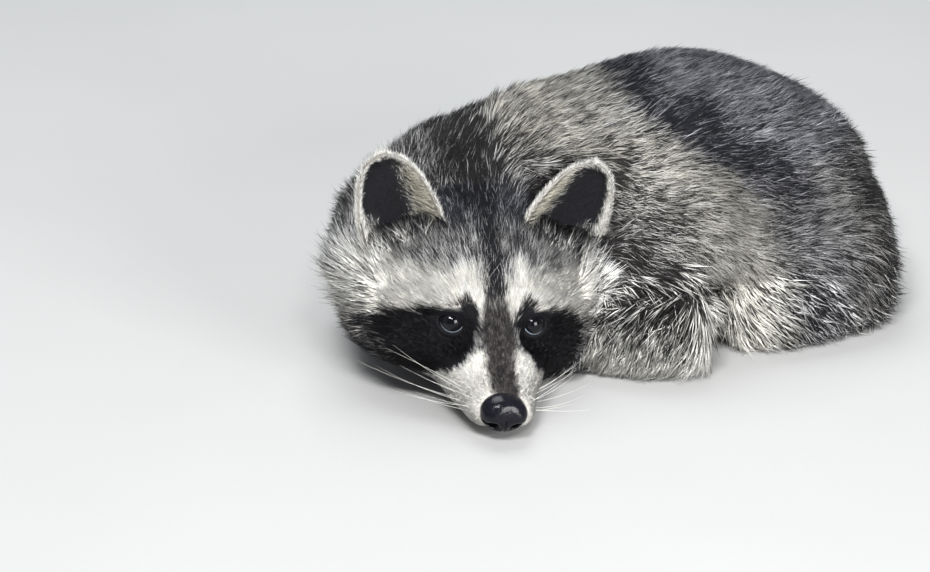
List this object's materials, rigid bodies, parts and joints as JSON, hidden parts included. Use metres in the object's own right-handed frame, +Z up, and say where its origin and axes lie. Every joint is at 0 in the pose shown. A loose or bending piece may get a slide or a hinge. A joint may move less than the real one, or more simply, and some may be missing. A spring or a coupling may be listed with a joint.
{
  "type": "raccoon",
  "caption": "Life-size still raccoon lying with its chin low between tucked forelegs, rump curled round and ringed tail laid behind.",
  "frame": {"origin": "on the ground under the middle of the animal's bounding box", "axes": "+Z up from the ground; the animal faces along -Y with its head at -X, its rump at +X and +Y and its tail behind at +Y"},
  "size_m": [0.3246, 0.3806, 0.1401],
  "materials": {
    "body_fur": "grizzled grey fur with pale tips over a dark saddle",
    "leg_fur": "dark grey fur",
    "tail_fur": "thick fur ringed dark and pale",
    "ear_fur": "short fur, pale at the rim and dark inside",
    "face_white": "short creamy white fur with a dark stripe",
    "paw_fur": "very short dark hair over dark skin",
    "nose_leather": "moist black, finely pebbled",
    "eye": "wet dark brown iris, almost black",
    "claw": "dark horn, worn smooth"
  },
  "bodies": {
    "root": {"belly": "body_fur", "chest": "body_fur", "ear_left": "ear_fur", "ear_right": "ear_fur", "eye_left": "eye", "eye_right": "eye", "forearm_left": "leg_fur", "forearm_right": "leg_fur", "forepaw_left": "paw_fur", "forepaw_left_claw_1": "claw", "forepaw_left_claw_2": "claw", "forepaw_left_claw_3": "claw", "forepaw_left_claw_4": "claw", "forepaw_left_claw_5": "claw", "forepaw_right": "paw_fur", "forepaw_right_claw_1": "claw", "forepaw_right_claw_2": "claw", "forepaw_right_claw_3": "claw", "forepaw_right_claw_4": "claw", "forepaw_right_claw_5": "claw", "head": "body_fur", "hindpaw_left": "paw_fur", "hindpaw_left_claw_1": "claw", "hindpaw_left_claw_2": "claw", "hindpaw_left_claw_3": "claw", "hindpaw_left_claw_4": "claw", "hindpaw_left_claw_5": "claw", "hindpaw_right": "paw_fur", "hindpaw_right_claw_1": "claw", "hindpaw_right_claw_2": "claw", "hindpaw_right_claw_3": "claw", "hindpaw_right_claw_4": "claw", "hindpaw_right_claw_5": "claw", "jaw": "face_white", "muzzle": "face_white", "neck": "body_fur", "nose": "nose_leather", "rump": "body_fur", "tail_aft": "tail_fur", "tail_fore": "tail_fur", "tail_root": "tail_fur", "tail_tip": "tail_fur", "thigh_left": "leg_fur", "thigh_right": "leg_fur", "upper_arm_left": "leg_fur", "upper_arm_right": "leg_fur"}
  },
  "joints": []
}
